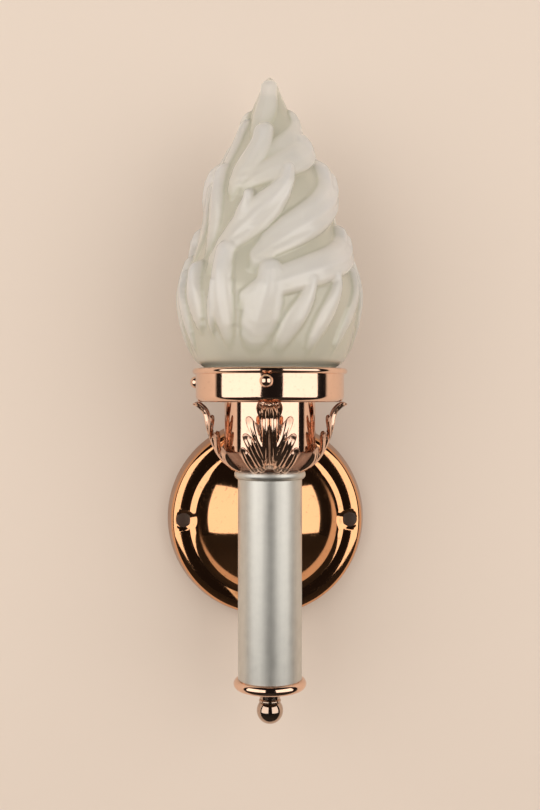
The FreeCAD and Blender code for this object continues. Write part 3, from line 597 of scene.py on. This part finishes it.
# Lampholder and lamp. A glazed porcelain body with brass fittings, and a lamp of milky white glass with a
# nickel cap.
china = Finish("glazed_porcelain")
china.surface(
    Base_Color=china.ramp(china.noise(90, 4), (0.35, (0.86, 0.84, 0.79)), (0.7, (0.92, 0.91, 0.87))),
    Roughness=china.noise(200, 2) * 0.1 + 0.12,
    Normal=china.bump(china.noise(240, 2), 0.1, 0.0002),
)
dress(china.made, "socket_body")
nickel = machined("nickel_cap", (0.74, 0.74, 0.72), 0.24)
dress(nickel, "bulb_cap", "bulb_contact")
opal = Finish("opal_lamp_glass")
opal.surface(
    Base_Color=opal.ramp(opal.noise(60, 2), (0.3, (0.88, 0.87, 0.84)), (0.7, (0.93, 0.93, 0.90))),
    Roughness=opal.noise(300, 2) * 0.08 + 0.25,
    Transmission_Weight=0.25,
)
dress(opal.made, "bulb_glass")

# Flame shade. Heavy pressed glass, frosted outside: tongues climb from the neck in tiers, swirl to the
# right and end in rounded lobes. Inside it is a plain bell. Its lip stands on the holder's floor.
# Heights and radii of the plain body under the tongues.
CORE = (
    (95.8, 39.2),
    (97.4, 43.1),
    (101, 45.2),
    (108, 47.8),
    (120, 50.6),
    (132, 51.6),
    (140, 51.0),
    (150, 48.2),
    (160, 44.0),
    (170, 40.0),
    (180, 37.2),
    (190, 35.2),
    (200, 33.0),
    (210, 29.4),
    (217, 25.6),
    (227, 20.0),
    (235, 16.0),
    (243, 12.6),
    (250, 9.8),
    (256, 7.2),
    (262, 4.6),
    (266, 2.4),
    (267.5, 0.0),
)
# Each tongue: the angle from the front and the height of its foot, then of its tip, half width, rise and
# how wide its tip is.
TONGUES = (
    (-54, 115, -60, 152, 7.2, 7.0, 0.6),
    (-43, 112, -39, 143, 3.7, 5.5, 0.5),
    (-31, 106, -36, 161, 7.6, 7.0, 0.75),
    (-14, 102, -2, 148, 11.5, 5.5, 0.6),
    (-21, 128, 80, 171, 9.5, 8.5, 0.95),
    (3, 100, 24, 144, 6.2, 5.0, 0.5),
    (24, 100, 45, 148, 5.9, 5.0, 0.5),
    (48, 102, 72, 152, 4.8, 4.5, 0.5),
    (-68, 104, -78, 150, 5.5, 5.5, 0.5),
    (-86, 100, -92, 158, 6.6, 6.0, 0.7),
    (-79, 148, -84, 201, 6.6, 4.6, 0.6),
    (-97, 176, -90, 224, 6.2, 4.0, 0.6),
    (-66, 190, -68, 238, 6.0, 4.5, 0.6),
    (-48, 150, 16, 208, 10.2, 7.5, 0.35),
    (-14, 150, 79, 207, 10.5, 9.0, 1.1),
    (-56, 158, -63, 210, 6.8, 6.5, 0.6),
    (-31, 169, -22, 193, 5.5, 6.0, 0.5),
    (-42, 192, -14, 232, 8.1, 6.0, 0.7),
    (-30, 195, 60, 226, 8.2, 6.5, 0.9),
    (-14, 212, 80, 242, 6.5, 4.5, 0.9),
    (-30, 226, -9, 261, 7.8, 3.5, 0.6),
)
FLAME_FOOT, FLAME_TIP, FOOT_EASE = 95.8, 267.5, 12
STEPS, SHARPNESS, FACINGS = 9, 1.5, (0, 180)
PLAIN_TOP = 262
core_heights = np.linspace(FLAME_FOOT, FLAME_TIP, 1400)
plain = np.interp(core_heights, *np.array(CORE).T)
kernel = np.exp(-(np.linspace(-2, 2, 81) ** 2))
padded = np.concatenate([2 * plain[0] - plain[40:0:-1], plain, 2 * plain[-1] - plain[-2:-42:-1]])
eased = np.convolve(padded, kernel / kernel.sum(), "valid")
core_radii = np.where(core_heights > PLAIN_TOP, plain, eased)


def core_at(height):
    """Radius of the plain body, whose corners are eased below its tip."""
    return np.interp(height, core_heights, core_radii)


def flame_radius(angle, height):
    """The outside of the flame, and how far it stands out, at angles from the front and heights."""
    core = core_at(height)
    total = np.zeros(np.broadcast(angle, height).shape)
    share = np.linspace(0, 1, STEPS)
    swell = np.sin(np.pi * share)
    for turn in FACINGS:
        for foot_angle, foot, tip_angle, tip, width, rise, tip_width in TONGUES:
            path_angle = turn + foot_angle + (tip_angle - foot_angle) * share**2 * (3 - 2 * share)
            path_height = foot + (tip - foot) * share
            tip_share = tip_width + (1 - tip_width) * swell**2
            widths = width * np.where(share < 0.5, 0.3 + 0.7 * swell, tip_share)
            rises = rise * (0.12 + 0.88 * share**0.8)
            flute = min(0.12, max(0.0, (width - 5.5) * 0.03))
            best = np.zeros(total.shape)
            for n in range(STEPS - 1):
                x0 = np.radians((path_angle[n] - angle + 180) % 360 - 180) * core
                run_x = math.radians(path_angle[n + 1] - path_angle[n]) * core
                z0, run_z = path_height[n] - height, path_height[n + 1] - path_height[n]
                along = np.clip(-(x0 * run_x + z0 * run_z) / (run_x**2 + run_z**2), 0, 1)
                away = np.hypot(x0 + run_x * along, z0 + run_z * along)
                across = np.clip(away / (widths[n] + (widths[n + 1] - widths[n]) * along), 0, 1)
                level = rises[n] + (rises[n + 1] - rises[n]) * along
                fluted = 1 - flute * np.sin(1.5 * np.pi * across) ** 2
                best = np.maximum(best, level * np.sqrt(1 - across**2) * fluted)
            total += np.expm1(best * SHARPNESS)
    rise = np.log1p(total) / SHARPNESS * np.clip((height - FLAME_FOOT) / FOOT_EASE, 0, 1)
    return core + rise, rise


AROUND, UP, UP_INSIDE = 256, 230, 54
GLASS_WALL, INSIDE_TOP = 3.3, 255
STEM_AT = 61
# Radius and height up the neck's inside, round its lip and up to the flame's foot.
NECK = (
    (36.0, 95.0),
    (36.0, 77.0),
    (36.4, 76.5),
    (40.4, 76.5),
    (41.0, 77.1),
    (41.0, 79.2),
    (40.4, 79.9),
    (39.5, 80.4),
    (39.2, 81.2),
    (39.2, 95.2),
)
angles = np.linspace(-180, 180, AROUND, endpoint=False)
down_inside = np.linspace(INSIDE_TOP, FLAME_FOOT, UP_INSIDE)
plain_rows = [(max(core_at(z) - GLASS_WALL, 0.3), z) for z in down_inside]
rows = [(z, np.full(AROUND, r), np.zeros(AROUND)) for r, z in (*plain_rows, *NECK)]
share = np.linspace(0, 1, UP)
for height in FLAME_FOOT + (FLAME_TIP - 0.15 - FLAME_FOOT) * (1 - (1 - share) ** 1.15):
    rows.append((height, *flame_radius(angles, np.full(AROUND, height))))
points, crests = [], []
for height, radius, crest in rows:
    for n, angle in enumerate(np.radians(angles)):
        points.append((radius[n] * math.sin(angle), -radius[n] * math.cos(angle) - STEM_AT, height))
        crests.append(crest[n])
faces = []
for row in range(len(rows) - 1):
    for n in range(AROUND):
        here, there = row * AROUND + n, row * AROUND + (n + 1) % AROUND
        faces.append((here, there, there + AROUND, here + AROUND))
points += [(0, -STEM_AT, INSIDE_TOP + 0.2), (0, -STEM_AT, FLAME_TIP)]
crests += [0.0, 0.0]
last = (len(rows) - 1) * AROUND
for n in range(AROUND):
    faces.append((len(points) - 2, (n + 1) % AROUND, n))
    faces.append((len(points) - 1, last + n, last + (n + 1) % AROUND))

frost = Finish("frosted_glass")
crest = frost.node("ShaderNodeAttribute", {"attribute_name": "crest"}, output="Fac")
grain = frost.noise(700, 3)
cloud = frost.noise(25, 3)
# Painted light and shade by relief height, from the plain body past the tongues' sides to their crests: the
# plain body darker and greener, the tongues' sides darker still as painted shade, the crests lighter and
# whiter as painted highlight.
FROST_LIGHT_AND_SHADE = (
    (0.06, (0.81, 0.77, 0.64)),
    (0.17, (0.74, 0.72, 0.58)),
    (0.34, (0.95, 0.905, 0.83)),
    (0.85, (0.99, 0.96, 0.94)),
)
FULL_CREST = 8
frost.surface(
    Base_Color=frost.ramp(crest + cloud * 0.15, *FROST_LIGHT_AND_SHADE),
    Roughness=0.44 - crest * 0.16 + grain * 0.06,
    Transmission_Weight=0.55,
    IOR=1.48,
    Coat_Weight=1.0,
    Coat_Roughness=0.18,
    Normal=frost.bump(grain, 0.06, 0.0002),
)
flame = mesh_piece("flame_glass", points, faces, frost.made, 180)
marks = flame.data.attributes.new("crest", "FLOAT", "POINT")
marks.data.foreach_set("value", np.clip(np.array(crests) / FULL_CREST, 0, 1).astype(np.float32))
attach(flame, "shade")
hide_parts("flame_shade", "shade_neck")

# Thumb screws. Brass, turned with a ball end and copper plated. They go through the holder's ring and
# hold the glass by its neck.
dress(copper, "thumb_screw_front", "thumb_screw_left", "thumb_screw_right")
